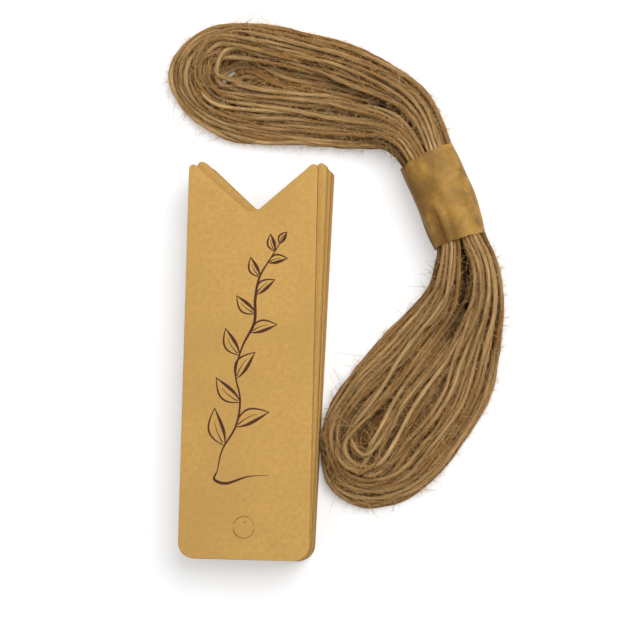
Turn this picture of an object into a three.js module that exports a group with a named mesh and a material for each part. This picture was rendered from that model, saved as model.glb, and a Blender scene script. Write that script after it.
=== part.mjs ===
// A pile of swallow-tail kraft gift tags and the hank of jute twine that ties them on.
// Each tag has a die-cut string hole near its foot, with the cut disc still sitting in it.
// The hank is one unbroken length of twine, held at its waist by a lapped and glued paper band.
// Millimetres, +Z up. The origin is on the table, under the middle of the pile's top tag.

import * as THREE from 'three';

const degree = Math.PI / 180;

// Tag card
const tagWidth = 30;
const tagLength = 90;
const cardThickness = 0.42;
const footRadius = 3.5;
const tipRadius = 1;
const notchRadius = 2.75;
const notchAngle = 41 * degree;
const arcSteps = 4;

// String hole, punched with its disc left in place
const holeDiameter = 5;
const holeFromFoot = 7.2;
const punchGap = 0.07;
const holeSides = 20;

// Pile, from the top group of tags down: how far each group has slid and turned under the top one
const airGap = 0.08;
const pileGroups = [
  { tags: 3, slideX: 0, slideY: 0, turn: 0 },
  { tags: 8, slideX: 0.9, slideY: 0.7, turn: -1.0 * degree },
  { tags: 9, slideX: 1.1, slideY: 0.1, turn: -1.6 * degree },
];
const looseSlide = 0.12;
const looseTurn = 0.12 * degree;

// Twine, wound in four layers of loops
const twineDiameter = 1;
const strandSpacing = twineDiameter + 0.5;
const turnsInLayers = [5, 7, 7, 5];
const loopSteps = 24;
const twineSides = 6;
const climbTurns = 0.5;
const zigzagAngle = 57.5 * degree;
const tableGap = 0.02;

// Paper band round the waist of the hank
const bandLength = 21;
const bandThickness = 0.2;
const bandClearance = 0.25;
const bandSlide = 1.5;
const bandSquareness = 3.2;
const bandCornerRoom = 0.25;
const bandSteps = 48;
const lapStart = 150 * degree;
const lapAngle = 45 * degree;
const lapRise = 20 * degree;
const glueThickness = 0.1;
const glueGap = 0.05;

// Hank on the table: its waist and the two lobes that bend away from it
const waistX = 43.4;
const waistY = 38.8;
const waistTurn = -66.3 * degree;
const waistMargin = 0.5;
const upperLobe = {
  direction: -1, reach: 79, bend: 55 * degree, bendLength: 18.5,
  slit: 1.5, looseness: 0.14, tipStep: 2.1, innerStretch: 1, outerStretch: 1.6,
};
const lowerLobe = {
  direction: 1, reach: 78, bend: -54 * degree, bendLength: 18,
  slit: 1.9, looseness: 0.42, tipStep: 1.8, innerStretch: 1, outerStretch: 1,
};

// Stations of a quarter loop, from the middle of the waist to the lobe's tip.
// past: distance beyond the waist; spread: how open the lobe is; zigzag: share of the waist's zigzag
const shoulder = { past: 8, spread: 0.24, zigzag: 1.2 };
const flare = { past: 30, spread: 0.8, zigzag: 0.4 };
const lobeEnd = { spread: 1, zigzag: 0.4 };

const waistHalf = bandLength / 2 + bandSlide + waistMargin;
const waistPitch = strandSpacing * Math.cos(zigzagAngle);
const waistZigzag = strandSpacing * Math.sin(zigzagAngle);
const outerRank = Math.max(...turnsInLayers);
const lastLayer = turnsInLayers.length - 1;
const loopCount = turnsInLayers.reduce((sum, turns) => sum + turns, 0);
const reversals = turnsInLayers.slice(0, -1).map((_, i) => {
  return turnsInLayers.slice(0, i + 1).reduce((sum, turns) => sum + turns, 0);
});

function finish(color, roughness) {
  return new THREE.MeshStandardMaterial({ color, roughness, metalness: 0 });
}

function smoothStep(share) {
  return THREE.MathUtils.smoothstep(share, 0, 1);
}

function namedMesh(name, geometry, material) {
  const mesh = new THREE.Mesh(geometry, material);
  mesh.name = name;
  return mesh;
}

// Points of a closed outline whose corners are rounded by tangent arcs, from [x, y, radius] corners
function roundedOutline(corners) {
  const points = [];
  corners.forEach(([x, y, radius], i) => {
    const corner = new THREE.Vector2(x, y);
    const [beforeX, beforeY] = corners.at(i - 1);
    const [afterX, afterY] = corners[(i + 1) % corners.length];
    const toBefore = new THREE.Vector2(beforeX, beforeY).sub(corner).normalize();
    const toAfter = new THREE.Vector2(afterX, afterY).sub(corner).normalize();
    const half = Math.acos(toBefore.dot(toAfter)) / 2;
    const inward = toBefore.clone().add(toAfter).normalize();
    const centre = corner.clone().addScaledVector(inward, radius / Math.sin(half));
    const start = corner.clone().addScaledVector(toBefore, radius / Math.tan(half)).sub(centre);
    const end = corner.clone().addScaledVector(toAfter, radius / Math.tan(half)).sub(centre);
    const sweep = Math.atan2(start.cross(end), start.dot(end));
    for (let step = 0; step <= arcSteps; step += 1) {
      const turned = start.clone().rotateAround(new THREE.Vector2(), (sweep * step) / arcSteps);
      points.push(turned.add(centre));
    }
  });
  return points;
}

function circlePoints(radius, centreY) {
  return Array.from({ length: holeSides }, (_, i) => {
    const angle = (2 * Math.PI * i) / holeSides;
    return new THREE.Vector2(radius * Math.cos(angle), centreY + radius * Math.sin(angle));
  });
}

const holeY = -tagLength / 2 + holeFromFoot;

// Foot edge, two long sides and two pointed tails, with the string hole punched through
function tagGeometry() {
  const tipHalfAngle = (90 * degree - notchAngle) / 2;
  const tipY = tagLength / 2 + tipRadius * (1 / Math.tan(tipHalfAngle) - 1);
  const rootY = tipY - (tagWidth / 2) * Math.tan(notchAngle);
  const outline = roundedOutline([
    [-tagWidth / 2, -tagLength / 2, footRadius],
    [tagWidth / 2, -tagLength / 2, footRadius],
    [tagWidth / 2, tipY, tipRadius],
    [0, rootY, notchRadius],
    [-tagWidth / 2, tipY, tipRadius],
  ]);
  const shape = new THREE.Shape(outline);
  shape.holes.push(new THREE.Path(circlePoints(holeDiameter / 2, holeY).reverse()));
  return new THREE.ExtrudeGeometry(shape, { depth: cardThickness, bevelEnabled: false });
}

function discGeometry() {
  const shape = new THREE.Shape(circlePoints(holeDiameter / 2 - punchGap, holeY));
  return new THREE.ExtrudeGeometry(shape, { depth: cardThickness, bevelEnabled: false });
}

// The pile, numbered from the table up. Within a group the tags lie a little uneven.
function buildPile() {
  const pile = new THREE.Group();
  const card = tagGeometry();
  const disc = discGeometry();
  const tagCount = pileGroups.reduce((sum, group) => sum + group.tags, 0);
  let number = tagCount;
  for (const group of pileGroups) {
    for (let i = 0; i < group.tags; i += 1) {
      const label = String(number).padStart(2, '0');
      const below = tagCount - number;
      const tag = new THREE.Group();
      tag.add(namedMesh(`tag_${label}`, card, finish('#cca35d', 0.85)));
      tag.add(namedMesh(`hole_disc_${label}`, disc, finish('#c9a05b', 0.85)));
      tag.position.x = group.slideX + looseSlide * Math.sin(2.4 * below);
      tag.position.y = group.slideY + looseSlide * Math.sin(3.7 * below);
      tag.position.z = (number - 1) * (cardThickness + airGap);
      tag.rotation.z = group.turn + looseTurn * Math.sin(1.9 * below);
      pile.add(tag);
      number -= 1;
    }
  }
  return pile;
}

// Middle line of the hank in its own frame, x along the waist: straight at the waist, and turned
// by each lobe's bend along a smooth step beyond it
function headingAt(along) {
  const lobe = along < 0 ? upperLobe : lowerLobe;
  return lobe.bend * smoothStep((Math.abs(along) - waistHalf) / lobe.bendLength);
}

function middleLine(along) {
  const steps = Math.ceil(Math.abs(along) / 0.25);
  const stride = along / steps || 0;
  const point = new THREE.Vector2();
  for (let i = 0; i < steps; i += 1) {
    const heading = headingAt((i + 0.5) * stride);
    point.x += stride * Math.cos(heading);
    point.y += stride * Math.sin(heading);
  }
  return { point, heading: headingAt(along) };
}

// The winding: loops spiral in and out again, one rank a turn, and climb a layer at each reversal
function rankAt(turn) {
  let start = 0;
  let layer = 0;
  while (layer < lastLayer && turn > start + turnsInLayers[layer]) {
    start += turnsInLayers[layer];
    layer += 1;
  }
  const wound = turn - start;
  return layer % 2 === 0 ? turnsInLayers[layer] - wound : wound;
}

function layerAt(turn) {
  return reversals.reduce((sum, reversal) => {
    return sum + smoothStep((turn - reversal) / climbTurns + 0.5);
  }, 0);
}

// At the waist neighbouring strands lie in a zigzag, up and down in turn, so the bundle draws in.
// A strand that climbs at a reversal passes between the rows.
function zigzagAt(turn, side) {
  if (side < 0) {
    return Math.floor(turn) % 2 === 0 ? -1 : 1;
  }
  const crossing = Math.round(turn);
  if (reversals.includes(crossing)) {
    return 0;
  }
  const layer = reversals.filter((reversal) => reversal < crossing).length;
  return (crossing + layer) % 2 === 0 ? -1 : 1;
}

const bandHalfWidth = (outerRank + 0.25) * waistPitch + twineDiameter / 2 + bandClearance + bandCornerRoom;
const stackHalf = (lastLayer / 2) * (strandSpacing + waistZigzag) + waistZigzag / 2;
const bandHalfHeight = stackHalf + twineDiameter / 2 + bandClearance + bandCornerRoom;
const waistHeight = bandHalfHeight + bandThickness;

// Point of the twine's centre line at a step of the winding
function twinePoint(step) {
  const quarter = loopSteps / 4;
  const turn = step / loopSteps;
  const phase = step % loopSteps;
  const station = quarter - Math.abs(quarter - (phase % (2 * quarter)));
  const lobe = phase <= 2 * quarter ? upperLobe : lowerLobe;
  const side = Math.sign(Math.abs(phase - 2 * quarter) - quarter);
  const rank = rankAt(turn);
  const place = [{ spread: 0, zigzag: 1 }, { spread: 0, zigzag: 1 }, shoulder, flare][station] ?? lobeEnd;

  const pitch = THREE.MathUtils.lerp(waistPitch, strandSpacing + lobe.looseness, place.spread);
  const offset = THREE.MathUtils.lerp(waistPitch / 4, lobe.slit, place.spread);
  let across = offset + rank * pitch;
  let along = station === 0 ? 0 : waistHalf + (place.past ?? 0);
  if (station > 3) {
    const angle = ((station - 3) / (quarter - 3)) * 90 * degree;
    const stretch = THREE.MathUtils.lerp(lobe.innerStretch, lobe.outerStretch, rank / outerRank);
    const tip = lobe.reach - twineDiameter / 2 - (outerRank - rank) * lobe.tipStep;
    along = tip - across * stretch * (1 - Math.sin(angle));
    across *= Math.cos(angle);
  }

  const zigzag = place.zigzag * waistZigzag;
  const layerStep = strandSpacing + zigzag;
  const stackHeight = lastLayer * layerStep + zigzag + twineDiameter;
  const middle = station < 2 ? waistHeight : stackHeight / 2 + tableGap;
  const layerRise = (layerAt(turn) - lastLayer / 2) * layerStep;
  const zigzagRise = side === 0 ? 0 : (zigzagAt(turn, side) * zigzag) / 2;

  const line = middleLine(lobe.direction * along);
  return new THREE.Vector3(
    line.point.x - side * across * Math.sin(line.heading),
    line.point.y + side * across * Math.cos(line.heading),
    middle + layerRise + zigzagRise,
  );
}

// Closed tube through the points: a six-sided ring square to the path at each, and two end caps
function tubeGeometry(points) {
  const positions = [];
  const normal = new THREE.Vector3(0, 0, 1);
  points.forEach((point, i) => {
    const before = points[Math.max(i - 1, 0)];
    const after = points[Math.min(i + 1, points.length - 1)];
    const tangent = after.clone().sub(before).normalize();
    normal.addScaledVector(tangent, -normal.dot(tangent)).normalize();
    const across = tangent.clone().cross(normal);
    for (let side = 0; side < twineSides; side += 1) {
      const angle = (2 * Math.PI * side) / twineSides;
      const vertex = point.clone();
      vertex.addScaledVector(normal, (twineDiameter / 2) * Math.cos(angle));
      vertex.addScaledVector(across, (twineDiameter / 2) * Math.sin(angle));
      positions.push(...vertex.toArray());
    }
  });
  const faces = [];
  for (let ring = 0; ring < points.length - 1; ring += 1) {
    for (let side = 0; side < twineSides; side += 1) {
      const a = ring * twineSides + side;
      const b = ring * twineSides + ((side + 1) % twineSides);
      faces.push(a, b, b + twineSides, a, b + twineSides, a + twineSides);
    }
  }
  const lastRing = (points.length - 1) * twineSides;
  for (let side = 1; side < twineSides - 1; side += 1) {
    faces.push(0, side + 1, side);
    faces.push(lastRing, lastRing + side, lastRing + side + 1);
  }
  const geometry = new THREE.BufferGeometry();
  geometry.setAttribute('position', new THREE.Float32BufferAttribute(positions, 3));
  geometry.setIndex(faces);
  geometry.computeVertexNormals();
  return geometry;
}

// Least gap of the twine to itself: points along the path against each stretch a few steps away
function leastGap(points) {
  const divisions = 4;
  const skip = 3;
  const stretch = new THREE.Line3();
  const nearest = new THREE.Vector3();
  let least = Infinity;
  for (let i = 0; i < points.length - 1; i += 1) {
    for (let division = 0; division < divisions; division += 1) {
      const probe = points[i].clone().lerp(points[i + 1], division / divisions);
      for (let j = i + skip; j < points.length - 1; j += 1) {
        stretch.set(points[j], points[j + 1]).closestPointToPoint(probe, true, nearest);
        least = Math.min(least, probe.distanceTo(nearest));
      }
    }
  }
  return least - twineDiameter;
}

// Point of the band's oval section, a superellipse, at an angle and an offset from its inner face
function bandPoint(angle, offset) {
  const power = 2 / bandSquareness;
  const x = Math.cos(angle);
  const y = Math.sin(angle);
  return new THREE.Vector2(
    (bandHalfWidth + offset) * Math.sign(x) * Math.abs(x) ** power,
    (bandHalfHeight + offset) * Math.sign(y) * Math.abs(y) ** power,
  );
}

// A strip between two offsets from the inner face, run along the waist
function stripGeometry(fromAngle, toAngle, innerOffset, outerOffset, length) {
  const steps = Math.ceil((bandSteps * (toAngle - fromAngle)) / (2 * Math.PI));
  const angles = Array.from({ length: steps + 1 }, (_, i) => {
    return fromAngle + ((toAngle - fromAngle) * i) / steps;
  });
  const outer = angles.map((angle) => bandPoint(angle, outerOffset(angle)));
  const inner = angles.map((angle) => bandPoint(angle, innerOffset(angle)));
  const shape = new THREE.Shape([...outer, ...inner.reverse()]);
  const geometry = new THREE.ExtrudeGeometry(shape, { depth: length, bevelEnabled: false });
  geometry.translate(0, 0, -length / 2);
  const sideways = new THREE.Vector3(0, 1, 0);
  const up = new THREE.Vector3(0, 0, 1);
  const forward = new THREE.Vector3(1, 0, 0);
  return geometry.applyMatrix4(new THREE.Matrix4().makeBasis(sideways, up, forward));
}

// The band goes once round and rises over its own start, with the glue line between
function buildBand() {
  const band = new THREE.Group();
  const lapOffset = bandThickness + glueThickness + 2 * glueGap;
  const lapAt = lapStart + 2 * Math.PI;
  const rise = (angle) => lapOffset * smoothStep((angle - lapAt + lapRise) / lapRise);
  const strip = stripGeometry(
    lapStart,
    lapAt + lapAngle,
    rise,
    (angle) => rise(angle) + bandThickness,
    bandLength,
  );
  const glue = stripGeometry(
    lapStart + lapRise / 2,
    lapStart + lapAngle - lapRise / 2,
    () => bandThickness + glueGap,
    () => bandThickness + glueGap + glueThickness,
    bandLength - 4,
  );
  band.add(namedMesh('paper_band', strip, finish('#af8a4d', 0.8)));
  band.add(namedMesh('band_glue_line', glue, finish('#d8c9a3', 0.5)));
  band.position.z = waistHeight;
  return band;
}

function buildHank() {
  const hank = new THREE.Group();
  const points = Array.from({ length: loopCount * loopSteps + 1 }, (_, step) => twinePoint(step));
  console.log(`twine_hank: least gap to itself ${leastGap(points).toFixed(3)} mm`);
  hank.add(namedMesh('twine_hank', tubeGeometry(points), finish('#8c6d44', 0.95)));
  hank.add(buildBand());
  hank.position.set(waistX, waistY, 0);
  hank.rotation.z = waistTurn;
  return hank;
}

const tagsAndTwine = new THREE.Group();
tagsAndTwine.add(buildPile(), buildHank());

export default tagsAndTwine;
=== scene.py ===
# Kraft gift tags in a pile, with a banded hank of jute twine beside them
# Lengths in the functions are millimetres, and become metres where a mesh is made

import bpy
import numpy as np
from mathutils import Matrix


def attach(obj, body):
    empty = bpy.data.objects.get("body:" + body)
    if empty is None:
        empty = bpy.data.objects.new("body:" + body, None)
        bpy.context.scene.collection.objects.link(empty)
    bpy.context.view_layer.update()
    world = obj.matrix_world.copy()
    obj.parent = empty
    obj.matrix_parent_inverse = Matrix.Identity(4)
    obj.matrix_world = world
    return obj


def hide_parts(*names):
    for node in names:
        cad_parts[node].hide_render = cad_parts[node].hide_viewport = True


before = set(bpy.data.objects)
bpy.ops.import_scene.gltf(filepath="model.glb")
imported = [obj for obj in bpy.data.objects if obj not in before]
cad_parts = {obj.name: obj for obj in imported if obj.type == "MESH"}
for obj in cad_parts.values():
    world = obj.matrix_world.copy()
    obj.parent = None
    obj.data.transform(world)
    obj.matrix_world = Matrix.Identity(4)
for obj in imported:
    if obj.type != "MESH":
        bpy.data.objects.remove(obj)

bl_info = {
    "name": "Kraft tags and twine",
    "version": (1, 0, 0),
    "blender": (4, 5, 0),
    "location": "View3D > Sidebar > Kraft tags",
    "description": "Builds a pile of notched kraft tags and a hank of jute twine in a paper band",
    "category": "Add Mesh",
}

MM = 0.001
DEGREE = np.pi / 180

# Card layout shared with the solid model
CARDS = 20
CARD_PITCH = 0.5
CARD_THICKNESS = 0.42
HOLE = np.array([0.0, -37.8])
HOLE_RADIUS = 2.5
DISC_RADIUS = 2.43
FOOT_RADIUS = 3.5
TAIL_RADIUS = 1.0
NOTCH_RADIUS = 2.75
NOTCH_ANGLE = 41

# Groups of the pile from the top: number of cards, shift in x and in y, turn in degrees
TAG_GROUPS = ((3, 0.0, 0.0, 0.0), (8, 0.9, 0.7, -1.0), (9, 1.1, 0.1, -1.6))

# Waist of the hank, fitted to the solid hank's place
WAIST = np.array([44.05, 37.72])
WAIST_TURN = -67.2 * DEGREE
WAIST_HALF = 12.0
WAIST_HEIGHT = 5.9
WAIST_BEND = 5.0
WAIST_TAPER = 0.006

# Half width and half height of the oval that the waist's strands keep to
WAIST_OVAL = (5.95, 5.2)

# Loops in each layer of the winding from the bottom, the points that draw one, and its length
LAYERS = np.array([9, 13, 13, 9])
LOOP_POINTS = 300
LOOP_LENGTH = 290.0

# Share of a loop's way from the waist to its tip that runs straight
STRAIGHT = 0.55

# Pitches from strand to strand and from row to row in the waist, and of the layers in a lobe
STRAND_PITCH = 0.40
ROW_PITCH = 1.15
LOBE_PITCH = 1.05

# Each lobe's way along the hank, its bend in degrees and the run of the bend, and how far out its
# outermost loop reaches. Pairs are for its outer and its inner side: half width, and the run and
# power of its flare. Eye is how far the outermost loops stand off the middle line besides, and
# valley how far the innermost of the upper layers do. Stretch is how much deeper than wide the
# lobe's end is. Tips step back by tip_step a rank. Lean is how far inner loops lie to one side in
# the bottom, the second and the upper layers. Split is the rank from which the upper layers part,
# with the gap on the inner and on the outer side. Sag widens the lower layers, and crease parts
# the upper ones near the waist.
UPPER = {
    "way": -1, "bend": 54.5, "bend_run": 17.4, "reach": 78.9,
    "half": (13.7, 10.9), "flare": (33.6, 45.8), "flare_power": (0.77, 0.84),
    "eye": 0.99, "valley": 2.6, "stretch": 1.76, "tip_step": 0.90,
    "lean": (1.4, -1.8, 3.3), "split": (4.0, 0.0, 0.0), "sag": 0.0, "crease": 0.0,
}
LOWER = {
    "way": 1, "bend": -55.3, "bend_run": 20.4, "reach": 77.6,
    "half": (14.4, 12.7), "flare": (34.1, 55.0), "flare_power": (1.63, 0.55),
    "eye": 1.67, "valley": 1.0, "stretch": 1.45, "tip_step": 0.62,
    "lean": (1.4, 0.2, -3.0), "split": (3.2, 2.6, 2.2), "sag": 1.2, "crease": 0.9,
}

# The valley of the lower layers, in both lobes
LOW_VALLEY = 0.42

# The lower lobe keeps PILE_AIR to the right of the pile's side, x = PILE_SIDE + PILE_SLOPE y
PILE_SIDE = 16.35
PILE_SLOPE = 0.028
PILE_AIR = 0.12

# Points this many apart along the twine or fewer are neighbours, and never push each other
NEIGHBOURS = 4

# Sides of the twine's tube
TWINE_SIDES = 7

# Angle at which the band's strip starts, how far it laps, its thickness and the lap's rise
BAND_START = 150 * DEGREE
BAND_LAP = 45 * DEGREE
BAND_PAPER = 0.2
BAND_RISE = 0.4

# Way from the table to the camera, its roll, and the point that it faces
CAMERA_TILT = (0.14, -0.09)
CAMERA_ROLL = 1.3 * DEGREE
CAMERA_TARGET = (16.3, 9.25, 10.0)


# Property groups

def colour_property(name, description, default):
    """A linear colour that the sidebar shows as a swatch."""
    return bpy.props.FloatVectorProperty(
        name=name, description=description, default=default, size=3,
        subtype="COLOR", min=0.0, max=1.0,
    )


def length_property(name, description, default):
    """A length in metres."""
    return bpy.props.FloatProperty(
        name=name, description=description, default=default, unit="LENGTH",
    )


def count_property(name, description, default, least, most):
    """A whole number between two limits."""
    return bpy.props.IntProperty(
        name=name, description=description, default=default, min=least, max=most,
    )


class CardSettings(bpy.types.PropertyGroup):
    """Sizes and colours of the cards, their discs and the print."""

    width: length_property("Width", "Width of a card", 0.030)
    length: length_property("Length", "Length of a card over its two tails", 0.090)
    edge_round: length_property("Edge rounding", "Radius of the cut edge", 0.00006)
    face: colour_property("Face", "Colour of the card's faces", (0.66, 0.385, 0.106))
    # The cut edge's colour is the board's darker cut, darkened further as painted shade between the
    # cards
    cut_edge_and_shade: colour_property("Cut edge", "Colour of the cut edges", (0.27, 0.14, 0.042))
    ink: colour_property("Ink", "Colour of the printed sprig", (0.060, 0.015, 0.005))


class TwineSettings(bpy.types.PropertyGroup):
    """Sizes and colours of the twine and its loose fibres."""

    diameter: length_property("Diameter", "Diameter of the twine", 0.001)
    relax_steps: count_property(
        "Settling steps", "Steps that push crossing strands apart", 120, 0, 400,
    )
    loose_fibres: count_property(
        "Loose fibres", "Number of fibres that cross each lobe's strands", 5200, 1, 8000,
    )
    surface_fibres: count_property(
        "Surface fibres", "Number of fibres that lie along each lobe's strands", 1300, 1, 8000,
    )
    dark: colour_property("Dark", "Darkest fibres", (0.13, 0.043, 0.009))
    middle: colour_property("Middle", "Most of the twine", (0.50, 0.262, 0.080))
    pale: colour_property("Pale", "Palest fibres", (0.95, 0.64, 0.29))


class BandSettings(bpy.types.PropertyGroup):
    """Sizes and colours of the paper band."""

    length: length_property("Length", "Length along the waist", 0.021)
    half_width: length_property("Half width", "Half of the oval's inner width", 0.0062)
    half_height: length_property("Half height", "Half of the oval's inner height", 0.0054)
    crease: length_property("Crease depth", "Depth of the creases", 0.00036)
    paper: colour_property("Paper", "Colour of the band", (0.375, 0.203, 0.041))
    # Shade is the colour that the painted shade in the creases and on one side of the band goes
    # towards
    shade: colour_property("Creased paper", "Colour in the creases", (0.20, 0.092, 0.018))


class StageSettings(bpy.types.PropertyGroup):
    """Lights, floor and the camera's lens."""

    lens: bpy.props.FloatProperty(
        name="Lens", description="Focal length", default=99.5, min=10.0, max=300.0,
    )
    distance: length_property("Distance", "From the camera to the top card", 0.4)
    key_power: bpy.props.FloatProperty(
        name="Key light", description="Power of the main soft light in watts", default=1.95,
    )
    surround: bpy.props.FloatProperty(
        name="Surround", description="Strength of the even light all round", default=0.42,
    )
    floor: colour_property("Floor", "Colour of the floor", (0.93, 0.93, 0.93))


SETTINGS = {
    "kraft_cards": CardSettings,
    "kraft_twine": TwineSettings,
    "kraft_band": BandSettings,
    "kraft_stage": StageSettings,
}


# Small numeric helpers

def smooth(share):
    """A smooth step from 0 to 1: 3 t squared less 2 t cubed, held outside."""
    share = np.clip(share, 0.0, 1.0)
    return share * share * (3 - 2 * share)


def power_sine(angle, power):
    """The sine of an angle raised to a power with its sign kept, for squarish ovals."""
    wave = np.sin(angle)
    return np.sign(wave) * np.abs(wave) ** power


def along_line(points):
    """Distance along a line of points, from its start."""
    steps = np.linalg.norm(np.diff(points, axis=0), axis=1)
    return np.concatenate([[0.0], np.cumsum(steps)])


def resample(points, stride):
    """The same line with points an even stride apart."""
    distance = along_line(points[:, :3])
    count = int(round(distance[-1] / stride))
    even = np.linspace(0, distance[-1], count + 1)
    columns = [np.interp(even, distance, points[:, k]) for k in range(points.shape[1])]
    return np.column_stack(columns)


def slow_noise(place, shortest, longest, waves, generator):
    """A sum of sines of random length and phase along a place, about 1 high."""
    total = np.zeros_like(place)
    for _ in range(waves):
        length = generator.uniform(shortest, longest)
        total += np.sin(2 * np.pi * place / length + generator.uniform(0, 2 * np.pi))
    return total / np.sqrt(waves / 2)


def curve_through(points, count):
    """A smooth line through points: each stretch is a cubic with tangents from its neighbours."""
    points = np.asarray(points, float)
    padded = np.vstack([2 * points[0] - points[1], points, 2 * points[-1] - points[-2]])
    place = np.linspace(0, len(points) - 1, count)
    i = np.minimum(place.astype(int), len(points) - 2)
    t = (place - i)[:, None]
    a, b, c, d = (padded[i + k] for k in range(4))
    return 0.5 * (2 * b + (c - a) * t + (2 * a - 5 * b + 4 * c - d) * t**2
                  + (3 * b - a - 3 * c + d) * t**3)


# Meshes

def grid_faces(rows, columns, wrap_rows=False, wrap_columns=False, start=0):
    """Four-sided faces of a grid of points, joined round where it wraps."""
    r = np.arange(rows if wrap_rows else rows - 1)
    c = np.arange(columns if wrap_columns else columns - 1)
    r, c = np.meshgrid(r, c, indexing="ij")
    r2 = (r + 1) % rows
    c2 = (c + 1) % columns
    corners = [r * columns + c, r * columns + c2, r2 * columns + c2, r2 * columns + c]
    return np.stack(corners, -1).reshape(-1, 4) + start


def fan_faces(ring, pole, flip=False):
    """Triangles from a closed ring of points to one pole."""
    following = np.roll(ring, -1)
    poles = np.full(len(ring), pole)
    order = [following, ring, poles] if flip else [ring, following, poles]
    return np.stack(order, -1)


def make_object(name, points, quads, triangles=None, uv=None, attributes=None, sharp=None):
    """A mesh object from whole arrays: points in millimetres, faces, and for each point its UV
    and other attributes. Edges over an angle of sharp degrees stay sharp."""
    mesh = bpy.data.meshes.new(name)
    triangles = np.zeros((0, 3), int) if triangles is None else np.asarray(triangles)
    loops = np.concatenate([quads.ravel(), triangles.ravel()]).astype(np.int32)
    sizes = np.concatenate([np.full(len(quads), 4), np.full(len(triangles), 3)])
    starts = np.concatenate([[0], np.cumsum(sizes)[:-1]]).astype(np.int32)
    mesh.vertices.add(len(points))
    mesh.vertices.foreach_set("co", (points * MM).astype(np.float32).ravel())
    mesh.loops.add(len(loops))
    mesh.loops.foreach_set("vertex_index", loops)
    mesh.polygons.add(len(sizes))
    mesh.polygons.foreach_set("loop_start", starts)
    mesh.update(calc_edges=True)
    mesh.validate()
    if uv is not None:
        layer = mesh.uv_layers.new(name="UVMap")
        layer.data.foreach_set("uv", uv[loops].astype(np.float32).ravel())
    for key, values in (attributes or {}).items():
        attribute = mesh.attributes.new(key, "FLOAT", "POINT")
        attribute.data.foreach_set("value", values.astype(np.float32))
    mesh.shade_smooth()
    if sharp is not None:
        mesh.set_sharp_from_angle(angle=sharp * DEGREE)
    piece = bpy.data.objects.new(name, mesh)
    bpy.context.collection.objects.link(piece)
    return piece


def seat(piece, body, slot, material, *nodes):
    """Gives a piece its material and the body it rides on, and hides the nodes it stands for. Its
    slot is not used.
    """
    piece.data.materials.append(material)
    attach(piece, body)
    if nodes:
        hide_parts(*nodes)
    return piece

def aim_object(name, data, place, back, up):
    """Adds a camera or a light at a place in metres, its back and roughly its top turned so."""
    right = np.cross(up, back)
    right /= np.linalg.norm(right)
    matrix = np.eye(4)
    matrix[:3, 0] = right
    matrix[:3, 1] = np.cross(back, right)
    matrix[:3, 2] = back
    matrix[:3, 3] = place
    item = bpy.data.objects.new(name, data)
    bpy.context.collection.objects.link(item)
    item.matrix_world = Matrix(matrix)
    return item


# Materials

class Nodes:
    """A node tree, with short calls that add a node and join it."""

    def __init__(self, tree):
        self.tree = tree

    def add(self, kind, links=None, **settings):
        """Adds a node; settings are its properties, links its sockets' values or sources."""
        node = self.tree.nodes.new(kind)
        for key, value in settings.items():
            setattr(node, key, value)
        for key, value in (links or {}).items():
            socket = node.inputs[key]
            if isinstance(value, bpy.types.NodeSocket):
                self.tree.links.new(value, socket)
            else:
                socket.default_value = value
        return node

    def math(self, operation, first, second=0.0):
        """One arithmetic step."""
        return self.add("ShaderNodeMath", {0: first, 1: second}, operation=operation).outputs[0]

    def seen(self):
        """1 for a ray from the camera, straight or by way of gloss or glass, and 0 for others."""
        path = self.add("ShaderNodeLightPath").outputs
        either = self.math("MAXIMUM", path["Is Camera Ray"], path["Is Glossy Ray"])
        return self.math("MAXIMUM", either, path["Is Transmission Ray"])


class Shader(Nodes):
    """A material, with calls for what its colour and relief are mixed from."""

    def __init__(self, name, roughness, **sockets):
        self.material = bpy.data.materials.new(name)
        self.material.use_nodes = True
        super().__init__(self.material.node_tree)
        self.surface = self.tree.nodes["Principled BSDF"]
        self.surface.inputs["Roughness"].default_value = roughness
        for key, value in sockets.items():
            self.surface.inputs[key.replace("_", " ")].default_value = value

    def join(self, source, socket):
        """Joins a source to a socket of the surface."""
        self.tree.links.new(source, self.surface.inputs[socket])

    def place(self, scale=(1, 1, 1), turn=(0, 0, 0), shift=(0, 0, 0)):
        """Object coordinates, stretched, turned and shifted."""
        here = self.add("ShaderNodeTexCoord").outputs["Object"]
        mapping = {"Vector": here, "Scale": scale, "Rotation": turn, "Location": shift}
        return self.add("ShaderNodeMapping", mapping).outputs["Vector"]

    def kept(self, name):
        """A value that the mesh keeps for each of its points."""
        return self.add("ShaderNodeAttribute", attribute_name=name).outputs["Fac"]

    def noise(self, vector, scale, detail=3.0, rough=0.55, distortion=0.0):
        """Value of a noise texture."""
        links = {
            "Vector": vector, "Scale": scale, "Detail": detail,
            "Roughness": rough, "Distortion": distortion,
        }
        return self.add("ShaderNodeTexNoise", links).outputs["Fac"]

    def ramp(self, value, low, high, bottom=0.0, top=1.0):
        """A value stretched from low..high to bottom..top, smoothly and held outside."""
        links = {
            "Value": value, "From Min": low, "From Max": high, "To Min": bottom, "To Max": top,
        }
        node = self.add("ShaderNodeMapRange", links, interpolation_type="SMOOTHSTEP")
        return node.outputs["Result"]

    def mix(self, share, first, second):
        """One colour mixed over another."""
        node = self.add("ShaderNodeMix", {0: share}, data_type="RGBA")
        for key, value in ((6, first), (7, second)):
            if isinstance(value, bpy.types.NodeSocket):
                self.tree.links.new(value, node.inputs[key])
            else:
                node.inputs[key].default_value = (*tuple(value)[:3], 1.0)
        return node.outputs[2]

    def bump(self, height, distance, strength=1.0):
        """Small relief from a height, its depth in metres."""
        links = {"Height": height, "Distance": distance, "Strength": strength}
        self.join(self.add("ShaderNodeBump", links).outputs["Normal"], "Normal")


def tinted(colour, factor):
    """A colour made lighter or darker, as a tuple."""
    return tuple(min(1.0, channel * factor) for channel in colour)


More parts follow.
